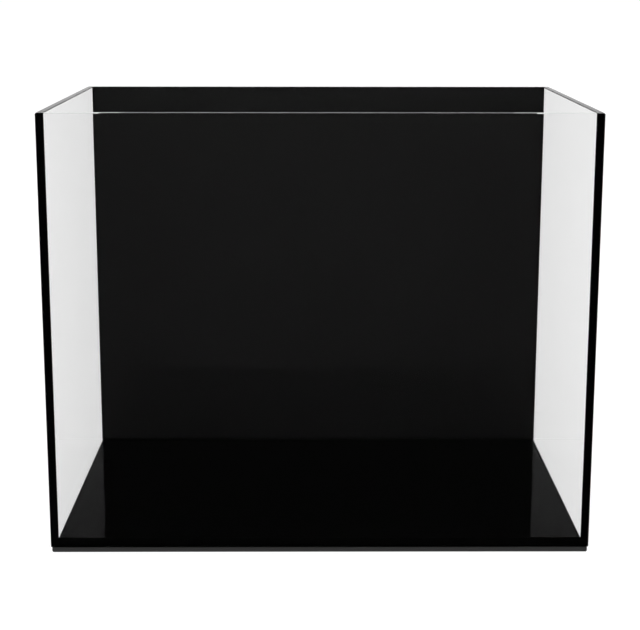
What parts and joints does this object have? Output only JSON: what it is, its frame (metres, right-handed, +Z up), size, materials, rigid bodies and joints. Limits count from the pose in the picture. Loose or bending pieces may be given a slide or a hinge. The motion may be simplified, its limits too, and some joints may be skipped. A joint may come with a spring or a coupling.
{
  "type": "glass aquarium tank",
  "caption": "Rimless open-top rectangular glass aquarium with clear front and sides, black back and floor, black silicone seams, on a levelling mat.",
  "frame": {"origin": "on the ground under the middle of the tank, at the underside of the levelling mat", "axes": "+Z up, +X along the width to the right as seen from the front, +Y from the front pane to the back pane"},
  "size_m": [0.6, 0.4, 0.4885],
  "materials": {
    "clear_glass": "clear polished float glass",
    "silicone": "black silicone, tooled smooth",
    "black_film": "black background film",
    "mat_foam": "dark grey closed-cell foam"
  },
  "bodies": {
    "root": {"front_pane": "clear_glass", "back_pane": "clear_glass", "left_pane": "clear_glass", "right_pane": "clear_glass", "bottom_pane": "clear_glass", "back_film": "black_film", "base_film": "black_film", "levelling_mat": "mat_foam", "front_left_bond": "silicone", "front_right_bond": "silicone", "back_left_bond": "silicone", "back_right_bond": "silicone", "front_base_bond": "silicone", "back_base_bond": "silicone", "left_base_bond": "silicone", "right_base_bond": "silicone", "front_left_bead": "silicone", "front_right_bead": "silicone", "back_left_bead": "silicone", "back_right_bead": "silicone", "front_floor_bead": "silicone", "back_floor_bead": "silicone", "left_floor_bead": "silicone", "right_floor_bead": "silicone"}
  },
  "joints": []
}
